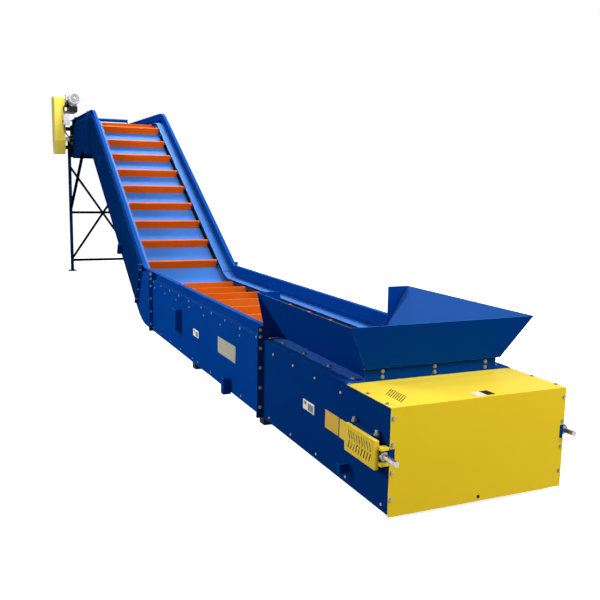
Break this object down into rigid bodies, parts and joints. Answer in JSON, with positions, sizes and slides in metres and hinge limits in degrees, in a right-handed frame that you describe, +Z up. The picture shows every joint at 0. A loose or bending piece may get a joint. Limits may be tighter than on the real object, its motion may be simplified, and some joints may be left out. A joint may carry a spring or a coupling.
{
  "type": "drag conveyor",
  "caption": "Chain drag conveyor with a loading hopper, level run, steep incline and raised head with side drive on a leg stand.",
  "frame": {"origin": "middle of the tail sill's underside, on the floor and on the trough's centre line", "axes": "+X across the trough, +Y along it from the tail to the head, +Z up"},
  "size_m": [1.468, 11.257, 3.0756],
  "materials": {
    "blue_paint": "semi-gloss royal blue paint",
    "yellow_paint": "semi-gloss safety yellow paint",
    "orange_plastic": "matte orange wear plastic",
    "bare_steel": "machined and oiled steel",
    "black_steel": "matte black paint",
    "motor_grey": "light grey paint",
    "black_cast": "black painted casting",
    "switch_grey": "pale grey enamel"
  },
  "bodies": {
    "conveyor": {"tail_sides": "blue_paint", "mid_sides": "blue_paint", "bend_sides": "blue_paint", "incline_sides": "blue_paint", "head_sides": "blue_paint", "mid_boards": "blue_paint", "bend_boards": "blue_paint", "incline_boards": "blue_paint", "head_boards": "blue_paint", "tail_bottom": "blue_paint", "mid_bottom": "blue_paint", "bend_bottom": "blue_paint", "incline_bottom": "blue_paint", "head_bottom": "blue_paint", "bed_level": "blue_paint", "bed_bend": "blue_paint", "bed_incline": "blue_paint", "bed_head": "blue_paint", "strips_level": "blue_paint", "strips_bend": "blue_paint", "strips_incline": "blue_paint", "strips_head": "blue_paint", "hopper": "blue_paint", "hopper_front_plate": "blue_paint", "hopper_rear_plates": "blue_paint", "takeup_frames": "blue_paint", "head_tube": "blue_paint", "head_end_plate": "blue_paint", "discharge_spout": "blue_paint", "legs": "blue_paint", "leg_rails": "blue_paint", "leg_cross": "blue_paint", "knee_braces": "blue_paint", "side_brackets": "blue_paint", "drive_bracket": "blue_paint", "head_bearings": "blue_paint", "tail_cover": "yellow_paint", "takeup_guards": "yellow_paint", "drive_guard": "yellow_paint", "flights": "orange_plastic", "takeup_screws": "bare_steel", "chains": "bare_steel", "floor_sills": "black_steel", "conduits": "black_steel", "motor": "motor_grey", "gear_reducer": "black_cast", "switch_box": "switch_grey"},
    "tail_shaft": {"tail_shaft": "bare_steel"},
    "head_shaft": {"head_shaft": "bare_steel"}
  },
  "joints": [
    {"name": "head_shaft_turn", "type": "hinge", "parent": "conveyor", "child": "head_shaft", "pos_m": [0, 10.675, 2.31359], "axis": [1, 0, 0], "continuous": true},
    {"name": "tail_shaft_turn", "type": "hinge", "parent": "conveyor", "child": "tail_shaft", "pos_m": [0, 0.125, 0.345], "axis": [1, 0, 0], "continuous": true}
  ],
  "couplings": [
    {"joint": "tail_shaft_turn", "follows": "head_shaft_turn", "ratio": 1}
  ]
}
